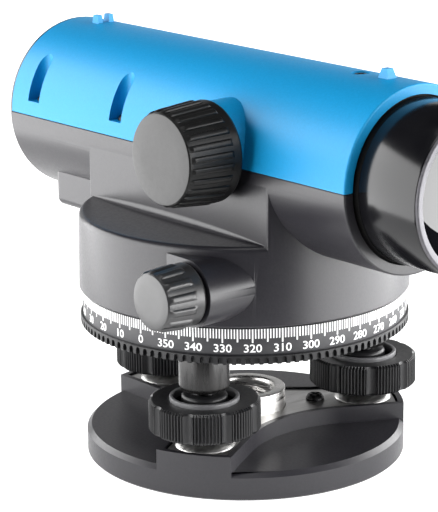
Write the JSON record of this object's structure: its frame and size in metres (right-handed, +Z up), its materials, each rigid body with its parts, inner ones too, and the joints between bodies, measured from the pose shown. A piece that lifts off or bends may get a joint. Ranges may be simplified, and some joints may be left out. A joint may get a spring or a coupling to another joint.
{
  "type": "automatic level",
  "caption": "Surveying automatic level: telescope with compensator on a turning drum, graduated circle and levelling base with foot screws, all drives jointed.",
  "frame": {"origin": "on the vertical turning axis, in the plane of the base plate's underside", "axes": "+Z up; +X along the line of sight, towards the objective; -Y towards the focusing knob"},
  "size_m": [0.2103, 0.1286, 0.1366],
  "materials": {
    "casting": "matte",
    "cover": "satin",
    "knob": "satin",
    "black_metal": "satin",
    "rubber": "matte",
    "bright_plate": "satin",
    "steel": "satin",
    "brass": "satin",
    "glass": "gloss",
    "mirror": "polished"
  },
  "bodies": {
    "base": {"base_plate": "casting", "spring_plate": "bright_plate", "tripod_boss": "bright_plate", "spring_plate_screw_a": "steel", "spring_plate_screw_b": "steel", "spring_plate_screw_c": "steel"},
    "foot_screw_a": {"foot_spindle_a": "steel", "foot_knob_a": "knob"},
    "foot_screw_b": {"foot_spindle_b": "steel", "foot_knob_b": "knob", "foot_ball_b": "steel"},
    "foot_screw_c": {"foot_spindle_c": "steel", "foot_knob_c": "knob", "foot_ball_c": "steel"},
    "tilt_ball": {"foot_ball_a": "steel"},
    "head": {"levelling_head": "black_metal", "vertical_axis": "steel"},
    "circle": {"horizontal_circle": "black_metal"},
    "wheel": {"worm_wheel": "brass", "clutch_spring": "steel"},
    "instrument": {"lower_housing": "casting", "bearing_plate": "casting", "top_cover": "cover", "cover_screw_rear_left": "steel", "cover_screw_rear_right": "steel", "cover_screw_front_left": "steel", "cover_screw_front_right": "steel", "cover_screw_top": "steel", "objective_tube": "black_metal", "objective_lens": "glass", "lens_ring": "black_metal", "guide_tube": "knob", "compensator_frame": "casting", "roof_prism": "glass", "damper_magnet": "brass", "reticle_ring": "brass", "reticle_glass": "glass", "eyepiece_tube": "black_metal", "vial_holder": "knob", "vial_glass": "glass"},
    "tangent_drive": {"worm_shaft": "steel", "tangent_knob_left": "knob", "tangent_knob_right": "knob"},
    "focus_drive": {"focus_shaft": "steel", "focus_knob": "knob"},
    "focusing_carriage": {"lens_carriage": "brass", "focusing_lens": "glass"},
    "pendulum": {"pendulum_arm": "brass", "pendulum_prism": "glass"},
    "dioptre": {"dioptre_ring": "knob", "eyecup": "rubber"},
    "eye_cell": {"eye_lens_cell": "brass", "eye_lens": "glass"},
    "mirror": {"mirror_frame": "knob", "vial_mirror": "mirror", "mirror_pin": "steel"}
  },
  "joints": [
    {"name": "foot_screw_a_turn", "type": "hinge", "parent": "base", "child": "foot_screw_a", "pos_m": [0.02116, -0.03453, 0.0066], "axis": [0, 0, 1], "range_deg": [-570, 570]},
    {"name": "foot_screw_b_turn", "type": "hinge", "parent": "base", "child": "foot_screw_b", "pos_m": [0.01932, 0.03559, 0.0066], "axis": [0, 0, 1], "range_deg": [-330, 330]},
    {"name": "foot_screw_c_turn", "type": "hinge", "parent": "base", "child": "foot_screw_c", "pos_m": [-0.04049, -0.00106, 0.0066], "axis": [0, 0, 1], "range_deg": [-330, 330]},
    {"name": "tilt_roll", "type": "hinge", "parent": "base", "child": "tilt_ball", "pos_m": [0.02116, -0.03453, 0.0066], "axis": [0.5225, -0.8526, 0], "range_deg": [-1.5, 1.5]},
    {"name": "tilt_pitch", "type": "hinge", "parent": "tilt_ball", "child": "head", "pos_m": [-0.01058, 0.01727, 0.0066], "axis": [0.8526, 0.5225, 0], "range_deg": [-1.5, 1.5]},
    {"name": "circle_turn", "type": "hinge", "parent": "head", "child": "circle", "pos_m": [0, 0, 0.0505], "axis": [0, 0, 1], "continuous": true},
    {"name": "coarse_turn", "type": "hinge", "parent": "head", "child": "wheel", "pos_m": [0, 0, 0.069], "axis": [0, 0, 1], "continuous": true},
    {"name": "fine_turn", "type": "hinge", "parent": "wheel", "child": "instrument", "pos_m": [0, 0, 0.069], "axis": [0, 0, 1], "continuous": true},
    {"name": "tangent_turn", "type": "hinge", "parent": "instrument", "child": "tangent_drive", "pos_m": [0.033, 0, 0.069], "axis": [0, -1, 0], "continuous": true},
    {"name": "focus_turn", "type": "hinge", "parent": "instrument", "child": "focus_drive", "pos_m": [0.0236, -0.0433, 0.1093], "axis": [0, -1, 0], "range_deg": [-140, 140]},
    {"name": "focusing_slide", "type": "slide", "parent": "instrument", "child": "focusing_carriage", "axis": [1, 0, 0], "range_m": [-0.01, 0.01]},
    {"name": "pendulum_swing", "type": "hinge", "parent": "instrument", "child": "pendulum", "pos_m": [-0.032, 0, 0.119], "axis": [0, 1, 0], "range_deg": [-0.5, 0.5]},
    {"name": "dioptre_turn", "type": "hinge", "parent": "instrument", "child": "dioptre", "pos_m": [-0.098, 0, 0.1046], "axis": [1, 0, 0], "range_deg": [-156, 156]},
    {"name": "eye_cell_slide", "type": "slide", "parent": "instrument", "child": "eye_cell", "axis": [1, 0, 0], "range_m": [-0.0016, 0.0016]},
    {"name": "mirror_fold", "type": "hinge", "parent": "instrument", "child": "mirror", "pos_m": [0.0005, 0.041, 0.0935], "axis": [0, 1, 0], "range_deg": [-45, 60]}
  ],
  "couplings": [
    {"joint": "tilt_pitch", "follows": "foot_screw_a_turn", "ratio": 0.0026198},
    {"joint": "tilt_roll", "follows": "foot_screw_b_turn", "ratio": -0.0045377},
    {"joint": "foot_screw_c_turn", "follows": "foot_screw_b_turn", "ratio": -1},
    {"joint": "tangent_turn", "follows": "fine_turn", "ratio": 36},
    {"joint": "focus_turn", "follows": "focusing_slide", "rad_per_m": 238},
    {"joint": "dioptre_turn", "follows": "eye_cell_slide", "rad_per_m": 1666}
  ]
}
